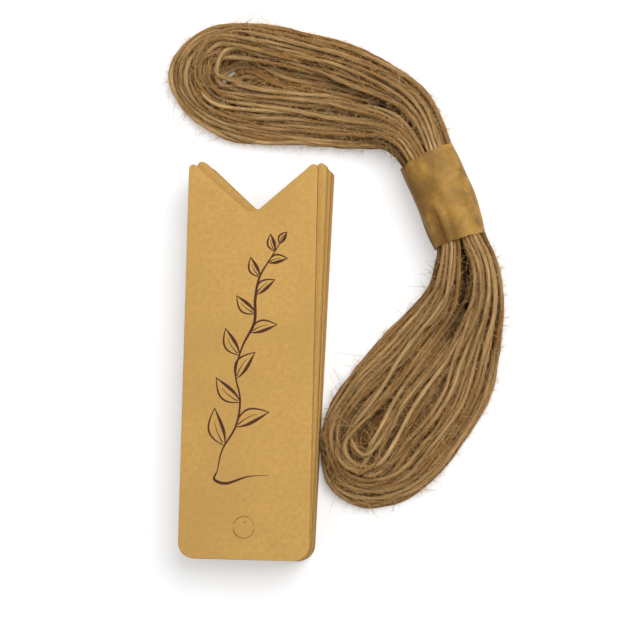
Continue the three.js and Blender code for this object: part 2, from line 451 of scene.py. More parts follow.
def card_material(name, marked=False):
    """Recycled kraft board: soft clouding, short fibres, pale and dark flecks, and a darker cut
    edge, partly the cut board's own colour and partly painted shade between the cards.
    """
    cards = bpy.context.scene.kraft_cards
    shade = Shader(name, 0.82, Specular_IOR_Level=0.28)
    here = shade.place()
    face = tuple(cards.face)
    cloud = shade.ramp(shade.noise(here, 55, 2), 0.3, 0.7)
    colour = shade.mix(cloud, tinted(face, 0.935), tinted(face, 1.06))
    mottle = shade.ramp(shade.noise(here, 900, 3, 0.6), 0.34, 0.66)
    colour = shade.mix(shade.math("MULTIPLY", mottle, 0.62), colour, tinted(face, 0.86))
    for turn, seed in ((0.35, 0.0), (1.9, 0.31)):
        lying = shade.place((900, 4200, 3000), (0, 0, turn), (seed, seed, seed))
        streak = shade.ramp(shade.noise(lying, 1.0, 1, 0.5), 0.70, 0.78, 0.0, 0.55)
        colour = shade.mix(streak, colour, tinted(face, 0.62))
    for scale, size, patches, rarity, share, tint in (
        (620.0, (0.10, 0.16), 210, (0.60, 0.66), 0.55, 1.5),
        (431.0, (0.06, 0.12), 333, (0.62, 0.67), 0.7, 0.4),
    ):
        cells = shade.add("ShaderNodeTexVoronoi", {"Vector": here, "Scale": scale})
        speck = shade.ramp(cells.outputs["Distance"], *size, 1.0, 0.0)
        rare = shade.ramp(shade.noise(here, patches, 1), *rarity)
        fleck = shade.math("MULTIPLY", speck, rare)
        colour = shade.mix(shade.math("MULTIPLY", fleck, share), colour, tinted(face, tint))
    ply = shade.noise(shade.place((300, 300, 9000)), 1.0, 2)
    # Cut edge: the board's darker cut, with painted shade between the cards in it
    cut = shade.mix(shade.ramp(ply, 0.35, 0.65), tinted(cards.cut_edge_and_shade, 0.75), cards.cut_edge_and_shade)
    colour = shade.mix(shade.kept("edge"), colour, cut)
    if marked:
        mark = (*((HOLE + (0.15, 1.15)) * MM), 9.9 * MM)
        centre = shade.add("ShaderNodeTexCoord").outputs["Object"]
        away = shade.add("ShaderNodeVectorMath", {0: centre, 1: mark}, operation="DISTANCE")
        spot = shade.ramp(away.outputs["Value"], 0.10 * MM, 0.24 * MM, 0.85, 0.0)
        colour = shade.mix(spot, colour, tinted(face, 0.2))
    shade.join(colour, "Base Color")
    shade.bump(shade.noise(here, 2600, 4, 0.65), 0.00004, 0.5)
    return shade.material


def ink_material():
    """Flat brown printing ink that lets the board's grain through."""
    cards = bpy.context.scene.kraft_cards
    shade = Shader("printing_ink", 0.62, Specular_IOR_Level=0.3)
    here = shade.place()
    wear = shade.ramp(shade.noise(here, 2400, 3, 0.6), 0.35, 0.75)
    shade.join(shade.mix(wear, tinted(cards.ink, 0.75), tinted(cards.ink, 1.7)), "Base Color")
    shade.bump(shade.noise(here, 2600, 4, 0.65), 0.00003, 0.4)
    return shade.material


def jute_material(name, lift=1.0, fair=0.0):
    """Jute fibre laid along the twine: streaks that wind slowly round it, pale and dark lengths,
    and painted shade where strands lie close to each other or deep below the top of the hank.
    Lift lightens all its colours, and fair is the least share of the palest."""
    twine = bpy.context.scene.kraft_twine
    shade = Shader(name, 0.85, Specular_IOR_Level=0.12)
    uv = shade.add("ShaderNodeUVMap", uv_map="UVMap").outputs["UV"]
    parts = shade.add("ShaderNodeSeparateXYZ", {"Vector": uv})
    around = shade.math("MULTIPLY", parts.outputs["X"], 2 * np.pi)
    run = parts.outputs["Y"]
    twist = shade.math("ADD", around, shade.math("MULTIPLY", run, 2 * np.pi / 34.0))
    ring = {
        "X": shade.math("COSINE", twist), "Y": shade.math("SINE", twist),
        "Z": shade.math("MULTIPLY", run, 0.035),
    }
    wound = shade.add("ShaderNodeCombineXYZ", ring).outputs["Vector"]
    streak = shade.ramp(shade.noise(wound, 3.6, 4, 0.65), 0.28, 0.62)
    lengths = shade.add("ShaderNodeCombineXYZ", {"X": run}).outputs["Vector"]
    piece = shade.ramp(shade.noise(lengths, 0.017, 2, 0.6), 0.40, 0.62)
    blot = shade.ramp(shade.noise(lengths, 0.21, 2, 0.6), 0.40, 0.72)
    dark = tinted(twine.dark, lift)
    middle = tinted(twine.middle, lift)
    pale = tinted(twine.pale, lift)
    colour = shade.mix(streak, dark, middle)
    share = shade.math("MULTIPLY", shade.math("MULTIPLY", piece, 0.9), streak)
    share = shade.math("MAXIMUM", share, fair)
    colour = shade.mix(share, colour, pale)
    colour = shade.mix(shade.math("MULTIPLY", blot, 0.12), colour, dark)
    # Painted shade: where other strands lie close or the strand lies deep, the colour goes towards
    # a very dark brown
    painted_shade_share = shade.math("MULTIPLY", shade.kept("painted_shade"), 0.84)
    colour = shade.mix(painted_shade_share, colour, tinted(twine.dark, 0.42))
    shade.join(colour, "Base Color")
    relief = shade.noise(wound, 5.5, 4, 0.7)
    shade.bump(relief, 0.0003, 1.0)
    return shade.material


def band_material():
    """Thin kraft paper: clouded, with painted shade in its creases and on one side of the oval,
    faint fibres and a little shine.
    """
    band = bpy.context.scene.kraft_band
    shade = Shader("band_paper", 0.52, Specular_IOR_Level=0.22)
    here = shade.place()
    cloud = shade.ramp(shade.noise(here, 190, 3, 0.6, 0.4), 0.32, 0.68)
    colour = shade.mix(cloud, tinted(band.paper, 0.62), tinted(band.paper, 1.32))
    fine = shade.ramp(shade.noise(here, 1500, 3, 0.6), 0.35, 0.65)
    colour = shade.mix(shade.math("MULTIPLY", fine, 0.25), colour, tinted(band.paper, 0.8))
    # Painted shade: the crease attribute, broken up by noise, mixes the paper towards the shade
    # colour
    rough = shade.noise(here, 420, 3, 0.6)
    painted_crease_shade = shade.ramp(rough, 0.25, 0.6, 0.45, 1.0)
    painted_crease_shade = shade.math("MULTIPLY", shade.kept("crease"), painted_crease_shade)
    colour = shade.mix(painted_crease_shade, colour, tuple(band.shade))
    shade.join(colour, "Base Color")
    fine = shade.math("MULTIPLY", shade.noise(here, 1900, 3), 0.12)
    relief = shade.math("ADD", shade.noise(here, 240, 3, 0.5, 0.8), fine)
    shade.bump(relief, 0.0006, 0.55)
    return shade.material


def glue_material():
    """Dried paper glue: pale, slightly glossy, uneven."""
    shade = Shader("dried_glue", 0.35, Specular_IOR_Level=0.5)
    here = shade.place()
    spread = shade.ramp(shade.noise(here, 700, 3), 0.3, 0.7)
    shade.join(shade.mix(spread, (0.55, 0.47, 0.33), (0.72, 0.66, 0.52)), "Base Color")
    shade.bump(shade.noise(here, 900, 2), 0.00005, 0.6)
    return shade.material


# Twine

def hank_line():
    """Middle line of the hank in its own plane: places along it, with x, y and heading there.

    Its heading turns evenly by the waist's bend out to each end of the waist, and beyond by the
    rest of the lobe's bend times a smooth step.
    """
    end = 92
    along = np.linspace(-end, end, 20 * end + 1)
    past = np.abs(along) - WAIST_HALF
    waist = -WAIST_BEND * np.clip(along / WAIST_HALF, -1, 1)
    upper = (UPPER["bend"] - WAIST_BEND) * smooth(past / UPPER["bend_run"])
    lower = (LOWER["bend"] + WAIST_BEND) * smooth(past / LOWER["bend_run"])
    heading = (waist + np.where(along < 0, upper, lower)) * DEGREE
    stride = along[1] - along[0]
    x = np.cumsum(np.cos(heading)) * stride
    y = np.cumsum(np.sin(heading)) * stride
    middle = len(along) // 2
    return along, x - x[middle], y - y[middle], heading


def beside_hank(along, across):
    """Points of the hank's plane, at places along its middle line and square across it."""
    place, x, y, heading = hank_line()
    turn = np.interp(along, place, heading)
    sideways = np.interp(along, place, x) - np.sin(turn) * across
    return sideways, np.interp(along, place, y) + np.cos(turn) * across


class Lobes:
    """The lobes' settings, read for every point of the winding at once."""

    def __init__(self, is_upper, side):
        self.is_upper = is_upper
        self.side = side

    def get(self, key, part=None):
        """A setting, or one part of it, of the lobe that each point is in."""
        upper = UPPER[key]
        lower = LOWER[key]
        if part is None:
            return np.where(self.is_upper, upper, lower)
        return np.where(self.is_upper, upper[part], lower[part])

    def beside(self, key):
        """The part of a pair for the side of the lobe that each point is on."""
        return np.where(self.side > 0, self.get(key, 0), self.get(key, 1))


def winding_order():
    """The turn t at each point, from 0 to the number of loops, with its rank, layer and row.

    Rank counts loops outwards: it falls and rises by one a turn, in and out again, and the layer
    climbs by a smooth step at each reversal. The row is 1 or -1 by turns each time the twine passes
    the waist, where a layer's strands lie in two rows, and 0 at a reversal.
    """
    edges = np.concatenate([[0], np.cumsum(LAYERS)])
    reversals = edges[1:-1]
    t = np.linspace(0, edges[-1], edges[-1] * LOOP_POINTS + 1)
    rank = np.interp(t, edges, [LAYERS[0], 0, LAYERS[1], 0, LAYERS[3]])
    layer = sum(smooth((t - reversal) / 0.5 + 0.5) for reversal in reversals)
    rank = np.maximum(rank - 0.25 * np.cos(np.pi * layer), 0)
    passage = np.round(t * 2).astype(int)
    nearest = passage / 2
    whole = np.floor(nearest).astype(int)
    at_layer = np.minimum(np.searchsorted(edges, nearest, side="right") - 1, len(LAYERS) - 1)
    row = np.where(passage % 2 == 0, (-1.0) ** (whole + at_layer + 1), (-1.0) ** (whole + 1))
    row = np.where(np.isin(nearest, reversals), 0.0, row)
    return t, rank, layer, row


def round_lobe(q, rank, layer, share, tip, lobes):
    """Place along the hank, angle round the lobe's end and full half width of each point.

    Up to q = 0.55 the twine runs along the lobe. Beyond it follows a quarter ellipse to its tip,
    as wide as the loop's mean half width and deeper by the lobe's stretch. The half width is the
    loop's share of the lobe's, plus a stand-off that goes from the valley in the innermost loop to
    the eye in the outermost. Towards its end an inner loop opens to the least that it turns in.
    """
    above = smooth(layer - 1)
    valley = LOW_VALLEY + (lobes.get("valley") - LOW_VALLEY) * above
    off = lobes.get("eye") * share + valley * (1 - share)
    full = off + share * lobes.beside("half") * (0.92 + 0.08 * above)
    mean = off + share * (lobes.get("half", 0) + lobes.get("half", 1)) / 2
    least = 2.8 + np.minimum(rank, 0.6 * rank + 2.4)
    depth = np.maximum(mean, least) * (1 + (lobes.get("stretch") - 1) * share)
    angle = np.clip((q - STRAIGHT) / (1 - STRAIGHT), 0, 1) * np.pi / 2
    along = (tip - depth) * np.minimum(q / STRAIGHT, 1) + depth * np.sin(angle)
    opening = smooth((along - (tip - depth) + 5 + 10 * above) / (5 + 9 * above))
    full = full + (np.maximum(full, least) - full) * opening
    return along, angle, full


def part_strands(full, along, rank, layer, lobes):
    """The full half width, with gaps between some loops.

    In the upper layers the loops beyond the split's rank stand off by its gap, over a stretch of
    the lobe on either side, and every loop gives way by its share of the ranks, so that the
    outermost stays in place. In the lower layers the outer loops sag outwards on the inner side.
    """
    inner_gap = smooth((along - 44) / 7) * smooth((72 - along) / 6)
    outer_gap = smooth((along - 38) / 7) * smooth((59 - along) / 7)
    inner = lobes.side < 0
    parted = smooth(layer - 1) * np.where(
        inner, lobes.get("split", 1) * inner_gap, lobes.get("split", 2) * outer_gap,
    )
    full = full + parted * (smooth((rank - lobes.get("split", 0)) / 0.35) - rank / LAYERS.max())
    sag = lobes.get("sag") * inner * smooth((rank - 3.5) / 8) * smooth((1.8 - layer) / 0.6)
    return full + sag * smooth((along - 30) / 14) * smooth((72 - along) / 14)


def lean_over(along, layer, share, lobes):
    """How far inner loops lie to one side. The amount steps smoothly from the bottom layer's to
    the second's and on to the upper ones', so that one layer covers another's eye."""
    bottom, second, upper = (lobes.get("lean", part) for part in range(3))
    lean = bottom + (second - bottom) * smooth(layer)
    lean = lean + (upper - second) * smooth(layer - 1)
    return lean * (1 - share) * smooth((along - WAIST_HALF + 3) / 34)


def stack_height(along, layer, row, diameter):
    """Height of each point. In the waist each layer has two rows, stacked evenly about the waist's
    height; past it the rows merge, the layers close up and the stack sinks to the table."""
    drawn_in = 1 - smooth((along - WAIST_HALF) / 26)
    settled = smooth((along - WAIST_HALF) / 20)
    pitch = LOBE_PITCH + (2 * ROW_PITCH - LOBE_PITCH) * drawn_in
    stack = 3 * pitch + ROW_PITCH * drawn_in + diameter
    height = WAIST_HEIGHT * (1 - settled) + stack / 2 * settled
    return height + (layer - 1.5) * pitch + row * ROW_PITCH / 2 * drawn_in


def wind_hank(diameter, generator):
    """The winding before it settles: its points, place along the hank and share of the ranks.

    Within a loop, q goes from 0 at the waist to 1 at a lobe's tip. Tips step back by rank, wander
    a little and are staggered from layer to layer. Across the hank the twine lies at the waist's
    pitch times its rank, mixed by the lobe's flare into the lobe's full half width. Slow noise,
    mostly in the inner loops and the upper layers, makes strands bunch and wander.
    """
    t, rank, layer, row = winding_order()
    outer = LAYERS.max()
    phase = t % 1
    is_upper = phase <= 0.5
    half = np.where(is_upper, phase * 2, phase * 2 - 1)
    q = 1 - np.abs(2 * half - 1)
    side = np.where((half < 0.5) == is_upper, 1.0, -1.0)
    lobes = Lobes(is_upper, side)
    above = smooth(layer - 1)
    share = (rank / outer) ** (1 - 0.16 * above)

    half_turn = np.floor(t * 2).astype(int)
    wander = generator.normal(0, 1.3, 2 * LAYERS.sum() + 2)[half_turn]
    wander = wander * (1 - 0.85 * rank / outer) * (0.3 + 0.7 * above)
    staggered = (3.4 * np.cos(np.pi * layer) - 1.4) * (1 - share) * (1 - above)
    tip = lobes.get("reach") - diameter / 2 - (outer - rank) * lobes.get("tip_step")
    tip = tip + wander + staggered
    along, angle, full = round_lobe(q, rank, layer, share, tip, lobes)
    full = part_strands(full, along, rank, layer, lobes)

    spread = smooth((along - WAIST_HALF + 3) / lobes.beside("flare")) ** lobes.beside("flare_power")
    drawn = STRAND_PITCH * (0.5 + rank) * (1 - spread)
    across = side * (drawn + full * spread) * np.cos(angle) + lean_over(along, layer, share, lobes)
    crease = lobes.get("crease") * smooth((along - WAIST_HALF + 1) / 4) * smooth((34 - along) / 14)
    across = across + side * above * crease
    height = stack_height(along, layer, row, diameter)

    length = t * LOOP_LENGTH
    loose = smooth((along - WAIST_HALF) / 18)
    unruly = 0.12 + 0.88 * above
    wave = 2 * np.pi * rank / 3.3 + 1.9 * np.floor(layer + 0.5) + side + along * 0.05
    bunch = unruly * np.sin(wave)
    across = across + 0.42 * loose * np.cos(angle) * bunch * (1 - share**4)
    inner = (1 - 0.85 * share) * unruly
    across = across + 0.95 * loose * inner * slow_noise(length, 26, 85, 6, generator)
    height = height + 0.9 * loose * above * (1 - share)
    height = height + 0.6 * loose * slow_noise(length, 22, 70, 6, generator)
    along = along + 0.7 * loose * inner * np.sin(angle) * slow_noise(length, 30, 90, 6, generator)

    signed = lobes.get("way") * along
    x, y = beside_hank(signed, across)
    return np.column_stack([x, y, height, signed, rank / outer])


def near_pairs(points, reach):
    """Pairs of points closer than a reach that aren't neighbours along the line. They are found
    through a grid of cells as wide as the reach: a point is held against its own cell and half of
    those round it, so that each pair comes once."""
    cell = np.floor(points / reach).astype(np.int64)
    cell -= cell.min(0) - 1
    span = cell.max(0) + 2
    key = (cell[:, 0] * span[1] + cell[:, 1]) * span[2] + cell[:, 2]
    order = np.argsort(key, kind="stable")
    ordered = key[order]
    steps = (-1, 0, 1)
    around = [(a, b, c) for a in steps for b in steps for c in steps if (a, b, c) >= (0, 0, 0)]
    first = []
    second = []
    for offset in around:
        wanted = key + (offset[0] * span[1] + offset[1]) * span[2] + offset[2]
        low = np.searchsorted(ordered, wanted, "left")
        count = np.searchsorted(ordered, wanted, "right") - low
        for k in range(count.max()):
            here = np.where(count > k)[0]
            there = order[low[here] + k]
            if offset == (0, 0, 0):
                once = there > here
                here = here[once]
                there = there[once]
            first.append(here)
            second.append(there)
    first = np.concatenate(first)
    second = np.concatenate(second)
    close = np.linalg.norm(points[first] - points[second], axis=1) < reach
    close &= np.abs(first - second) > NEIGHBOURS
    return first[close], second[close]


def push_apart(points, first, second, least):
    """Points moved away from each other along the line between each pair, by 0.3 of what the pair
    lacks to the least distance. A point's pushes are summed over the root of their number."""
    count = len(points)
    gap = points[second] - points[first]
    distance = np.linalg.norm(gap, axis=1) + 1e-9
    push = np.clip(least - distance, 0, None) * 0.3
    hit = push > 0
    first = first[hit]
    second = second[hit]
    shift = gap[hit] / distance[hit, None] * push[hit, None]
    move = np.zeros_like(points)
    for axis in range(3):
        move[:, axis] = np.bincount(second, shift[:, axis], count)
        move[:, axis] -= np.bincount(first, shift[:, axis], count)
    hits = np.bincount(second, minlength=count) + np.bincount(first, minlength=count)
    return points + move / np.sqrt(np.maximum(1, hits))[:, None]


def even_bends(points):
    """The line with its bends evened out by a filter that keeps loops from shrinking."""
    bend = np.zeros_like(points)
    bend[1:-1] = (points[:-2] + points[2:]) / 2 - points[1:-1]
    even = bend.copy()
    even[1:-1] = (bend[:-2] + bend[2:]) / 2
    return points + 0.35 * (bend - 0.96 * even)


def settle_twine(points, signed, diameter, steps):
    """Pushes strands that cross apart, a little each step, and lets the lobes sink to the table.

    Each step also draws every point slightly back home, holds the waist inside the band's oval
    and the lower lobe off the pile. A few passes of plain smoothing end it.
    """
    held = np.abs(signed) < WAIST_HALF - 0.5
    middle = beside_hank(signed, 0.0)[1][held]
    taper = 1 - WAIST_TAPER * signed[held]
    home = points.copy()
    pull = np.where(held, 0.02, 0.004)[:, None]
    radius = diameter / 2
    for step in range(steps):
        if step % 6 == 0:
            first, second = near_pairs(points, diameter * 1.45)
        points = push_apart(points, first, second, 0.97 * diameter)
        points[:, 2] -= 0.01 * ~held
        points = even_bends(points)
        points += (home - points) * pull
        points[:, 2] = np.maximum(points[:, 2], radius)
        y = points[held, 1] - middle
        z = points[held, 2] - WAIST_HEIGHT
        over = np.hypot(y / (WAIST_OVAL[0] * taper - radius), z / (WAIST_OVAL[1] - radius))
        keep = np.where(over > 1, 1 / np.maximum(over, 1e-9), 1)
        points[held, 1] = middle + y * keep
        points[held, 2] = WAIST_HEIGHT + z * keep
        placed = to_table(points)
        clear = placed[:, 0] - PILE_SLOPE * placed[:, 1] - PILE_SIDE - radius - PILE_AIR
        clear = np.minimum(np.where(signed > 0, clear, 0), 0)
        points[:, 0] -= np.cos(WAIST_TURN) * clear
        points[:, 1] += np.sin(WAIST_TURN) * clear
    for _ in range(16):
        points[1:-1] += 0.4 * ((points[:-2] + points[2:]) / 2 - points[1:-1])
    points[:, 2] = np.maximum(points[:, 2], radius * 1.27)
    return points


def to_table(points):
    """From the hank's own plane to its place on the table."""
    c = np.cos(WAIST_TURN)
    s = np.sin(WAIST_TURN)
    x = WAIST[0] + points[:, 0] * c - points[:, 1] * s
    y = WAIST[1] + points[:, 0] * s + points[:, 1] * c
    return np.column_stack([x, y, points[:, 2]])


def twine_path():
    """The settled twine on the table, one point each millimetre, with each point's signed place
    along the hank and share of the ranks."""
    generator = np.random.default_rng(7)
    twine = bpy.context.scene.kraft_twine
    diameter = twine.diameter / MM
    wound = resample(wind_hank(diameter, generator), 0.72)
    steps = twine.relax_steps
    settled = settle_twine(wound[:, :3], wound[:, 3], diameter, steps)
    settled = resample(np.column_stack([to_table(settled), wound[:, 3:]]), 1.0)
    return settled[:, :3], settled[:, 3], settled[:, 4]


def ring_axes(points):
    """For each point of a line that lies fairly flat: its direction, sideways and upwards axes."""
    ahead = np.gradient(points, axis=0)
    ahead /= np.linalg.norm(ahead, axis=1, keepdims=True)
    side = np.cross(ahead, [0.0, 0.0, 1.0])
    side /= np.linalg.norm(side, axis=1, keepdims=True)
    return ahead, side, np.cross(side, ahead)


def tube_faces(rings, sides):
    """Faces of a tube of rings, and triangles to the poles that follow the rings in its points."""
    first = np.arange(sides)
    caps = np.vstack([
        fan_faces(first, rings * sides),
        fan_faces(first + (rings - 1) * sides, rings * sides + 1, flip=True),
    ])
    return grid_faces(rings, sides, wrap_columns=True)[:, ::-1], caps


def tube(points, radius, sides, ripple, lay):
    """Closed tube: at each point a ring of radius (1 + ripple cos 2 phase), its phase the angle
    plus a turn each lay, and a pole at each end. Returns points, four-sided faces, triangles and
    UVs, v in millimetres along."""
    count = len(points)
    ahead, side, up = ring_axes(points)
    distance = along_line(points)
    angle = np.arange(sides) * 2 * np.pi / sides
    phase = angle[None, :] + 2 * np.pi * distance[:, None] / lay
    size = radius[:, None] * (1 + ripple * np.cos(2 * phase))
    ring = side[:, None, :] * np.cos(angle)[None, :, None]
    ring = ring + up[:, None, :] * np.sin(angle)[None, :, None]
    body = points[:, None, :] + ring * size[:, :, None]
    start = points[0] - ahead[0] * radius[0] * 0.6
    end = points[-1] + ahead[-1] * radius[-1] * 0.6
    vertices = np.vstack([body.reshape(-1, 3), start, end])
    u = np.tile(np.arange(sides) / sides, count)
    uv = np.column_stack([u, np.repeat(distance, sides)])
    uv = np.vstack([uv, [[0, 0], [0, distance[-1]]]])
    quads, caps = tube_faces(count, sides)
    return vertices, quads, caps[:, ::-1], uv


def highest_near(path, square):
    """Height of the highest twine over each point's own small square."""
    fine = np.vstack([path, resample(path, 0.35)])
    cell = ((fine[:, :2] - fine[:, :2].min(0)) / square).astype(int)
    key = cell[:, 0] * (cell[:, 1].max() + 1) + cell[:, 1]
    highest = np.zeros(key.max() + 1)
    np.maximum.at(highest, key, fine[:, 2])
    return highest[key[:len(path)]]


def lies_on_top(path):
    """Which points of the twine are near the highest twine over their own small square, and not
    down in a hollow of a wider one."""
    near_top = path[:, 2] > highest_near(path, 0.7) - 0.5
    return near_top & (path[:, 2] > highest_near(path, 2.4) - 1.7)


def twine_painted_shade(path, sides):
    """How much painted shade each point of the twine's skin gets, 0 to 1: colour that stands in for
    the shadow of the strands beside and above it.

    Cover sums, over the strands nearby, the fourth power of the cosine between the skin's outward
    direction and the way to the strand, times how near it is. How deep the strand lies below the
    highest one over its own small square is joined to it.
    """
    diameter = bpy.context.scene.kraft_twine.diameter / MM
    reach = diameter * 1.9
    side, up = ring_axes(path)[1:]
    first, second = near_pairs(path, reach)
    gap = path[second] - path[first]
    distance = np.linalg.norm(gap, axis=1)
    near = smooth((reach - distance) / (0.9 * diameter))
    gap = gap / distance[:, None]
    count = len(path)
    cover = np.zeros((count, sides))
    for k in range(sides):
        angle = k * 2 * np.pi / sides
        out = side * np.cos(angle) + up * np.sin(angle)
        for here, way in ((first, 1.0), (second, -1.0)):
            facing = np.clip((out[here] * gap).sum(1) * way, 0, 1) ** 4
            cover[:, k] += np.bincount(here, facing * near, count)
    deep = smooth((highest_near(path, 3.0) - path[:, 2] - 1.1) / 2.4)
    deep = np.convolve(deep, np.full(7, 1 / 7), mode="same")
    open_share = (1 - np.clip(cover / 1.8, 0, 1)) * (1 - 0.8 * deep[:, None])
    return 1 - open_share


def fibre_roots(path, free, wanted, turns, generator):
    """Where fibres leave the twine: the point, the twine's direction and sideways axis there, the
    way out of its skin at a share of half a turn, and which way along it each fibre runs."""
    ahead, side, up = ring_axes(path)
    at = generator.choice(np.where(free)[0], wanted)
    angle = np.pi * generator.uniform(*turns, wanted)
    out = side[at] * np.cos(angle)[:, None] + up[at] * np.sin(angle)[:, None]
    way = generator.choice([-1.0, 1.0], wanted)
    return path[at], ahead[at], side[at], out, way


def crossing_fibres(path, free, wanted, diameter, generator):
    """Fibres that set off sideways over the strands beside them, rising and then sinking. Returns
    start, direction, curl, length and thickness of each."""
    root, ahead, side, out, way = fibre_roots(path, free, wanted, (-0.1, 1.1), generator)
    lean = generator.uniform(0.25, 1.35, wanted)
    hand = generator.choice([-1.0, 1.0], wanted)
    rise = generator.uniform(0.0, 0.40, wanted)
    direction = ahead * (np.cos(lean) * way)[:, None]
    direction = direction + side * (np.sin(lean) * hand)[:, None]
    direction[:, 2] += rise
    length = np.minimum(0.9 + generator.exponential(1.0, wanted), 5.5)
    curl = generator.normal(0, 0.20, (wanted, 3))
    curl[:, 2] = curl[:, 2] * 0.5 - 1.6 * rise / length
    thick = generator.uniform(0.026, 0.052, wanted)
    return root + out * diameter * 0.42, direction, curl, length, thick


def lying_fibres(path, free, wanted, diameter, generator):
    """Fibres that lie close along the twine, given in the same way."""
    root, ahead, _, out, way = fibre_roots(path, free, wanted, (0.22, 0.78), generator)
    lean = generator.uniform(0.02, 0.20, wanted)
    direction = ahead * (np.cos(lean) * way)[:, None] + out * np.sin(lean)[:, None]
    length = generator.uniform(2.0, 6.0, wanted)
    curl = generator.normal(0, 0.05, (wanted, 3)) - out * 0.05
    thick = generator.uniform(0.022, 0.044, wanted)
    return root + out * diameter * 0.46, direction, curl, length, thick


def fibre_tubes(start, direction, curl, length, thick, generator):
    """Fibres as three-sided tubes of four rings that thin to a pole at each end.

    A fibre's point is start + direction s + curl s squared / 2, with s its distance along, held
    between the table and the top of the hank. Its UV runs along the jute's pattern from a random
    place.
    """
    count = len(start)
    sides = 3
    taper = np.array([1.0, 0.95, 0.8, 0.45])
    rings = len(taper)
    s = np.linspace(0, 1, rings)[None, :, None] * length[:, None, None]
    line = start[:, None, :] + direction[:, None, :] * s + curl[:, None, :] * s**2 / 2
    line[..., 2] = np.clip(line[..., 2], 0.08, 13.2)
    heading = np.gradient(line, axis=1)
    heading /= np.linalg.norm(heading, axis=2, keepdims=True) + 1e-9
    across = np.cross(heading, np.array([0.13, 0.21, 0.97]))
    across /= np.linalg.norm(across, axis=2, keepdims=True) + 1e-9
    over = np.cross(across, heading)
    turn = np.arange(sides) * 2 * np.pi / sides
    size = thick[:, None] * taper[None, :]
    ring = (across[:, :, None, :] * np.cos(turn)[None, None, :, None]
            + over[:, :, None, :] * np.sin(turn)[None, None, :, None])
    body = line[:, :, None, :] + ring * size[:, :, None, None]
    poles = np.stack([line[:, 0] - heading[:, 0] * 0.03, line[:, -1] + heading[:, -1] * 0.05], 1)
    vertices = np.concatenate([body.reshape(count, -1, 3), poles], axis=1).reshape(-1, 3)
    quads, caps = tube_faces(rings, sides)
    base = (np.arange(count) * (rings * sides + 2))[:, None, None]
    quads = (quads[None] + base).reshape(-1, 4)
    triangles = (caps[None, :, ::-1] + base).reshape(-1, 3)
    shift = generator.uniform(0, 900, count)
    v = shift[:, None, None] + np.broadcast_to(s, (count, rings, 1))
    v = np.broadcast_to(v, (count, rings, sides)).reshape(count, -1)
    v = np.concatenate([v, np.stack([shift, shift + length], 1)], axis=1).ravel()
    return vertices, quads, triangles, np.column_stack([np.full(len(v), 0.3), v])


# Band

def band_rise(angle):
    """How far the strip stands off its first turn: one thickness and the glue, by a smooth step."""
    run = 20 * DEGREE
    lap_at = BAND_START + 2 * np.pi
    return BAND_RISE * smooth((angle - lap_at + run) / run)


def band_crease(angle, along, depth):
    """Relief of the paper's creases at an angle round the band and a place along it, and how much
    painted shade the paper gets there, 0 to 1.

    The creases are products of sines that slant across the band, fade in and out along it and
    are deepest on its inner side, which also gets painted shade all over. Their hollows get painted
    shade.
    """
    slant = angle * 7 + along * 0.16
    folds = np.sin(slant + 1.1 * np.sin(along * 0.33)) * np.sin(angle * 3 + 0.9)
    folds = folds + 0.6 * np.sin(angle * 13 - along * 0.27) * np.sin(along * 0.21 + 2 * angle)
    fade = 0.55 + 0.45 * np.sin(along * 0.29 + np.cos(angle))
    inner = 0.35 + 0.65 * smooth((np.cos(angle - 190 * DEGREE) + 0.5) / 1.1)
    # Painted shade: one side of the oval, round 180 degrees, darker all over, and the crease
    # hollows darker still
    painted_side_shade = 0.42 * smooth((-np.cos(angle) - 0.12) / 0.5)
    dark = np.clip(painted_side_shade - folds * fade * inner, 0, 1)
    return depth * folds * fade * inner, dark


def band_surface(angles, offsets, along, band):
    """Points of a strip round the band's oval at given angles, offsets from its inner face and
    places along the waist: a superellipse of power 2.15, creased, pinched in slightly at its ends.
    """
    power = 2 / 2.15
    crease, dark = band_crease(angles, along, band.crease / MM)
    pinch = 0.22 * smooth((np.abs(along) - 6.5) / 4.0)
    bulge = 0.12 * np.sin(along * 0.3 + 1.0)
    grow = offsets + crease - pinch + bulge
    y = (band.half_width / MM + grow) * power_sine(angles + np.pi / 2, power)
    y = y * (1 - WAIST_TAPER * along)
    z = (band.half_height / MM + grow) * power_sine(angles, power)
    x, y = beside_hank(along, y)
    return np.stack([x, y, z + WAIST_HEIGHT], -1), dark


def strip(name, angles, inner, outer, half_length, rows, band, ragged=0.0):
    """A closed strip: a loop of points round its thin section at each angle, from the inner face
    over one edge, back along the outer face and over the other edge, capped at both ends."""
    across = np.linspace(-1, 1, rows)
    wave = ragged * (np.sin(angles * 9) + 0.6 * np.sin(angles * 23 + 1))
    inside = np.concatenate([across, across[::-1]])
    level = np.concatenate([np.zeros(rows), np.ones(rows)])
    along = half_length * inside[None, :] + wave[:, None] * inside[None, :]
    offset = inner[:, None] * (1 - level) + outer[:, None] * level
    wide = np.broadcast_to(angles[:, None], along.shape)
    points, dark = band_surface(wide, offset, along, band)
    columns = 2 * rows
    half = np.arange(rows - 1)
    cap = np.stack([half, half + 1, columns - 2 - half, columns - 1 - half], -1)
    last = (len(angles) - 1) * columns
    quads = grid_faces(len(angles), columns, wrap_columns=True)
    quads = np.vstack([quads, cap, cap[:, ::-1] + last])
    flat = to_table(points.reshape(-1, 3))
    # The crease attribute carries the painted shade of the creases and of one side of the band
    return make_object(name, flat, quads, attributes={"crease": dark.ravel()}, sharp=50)


# Cards

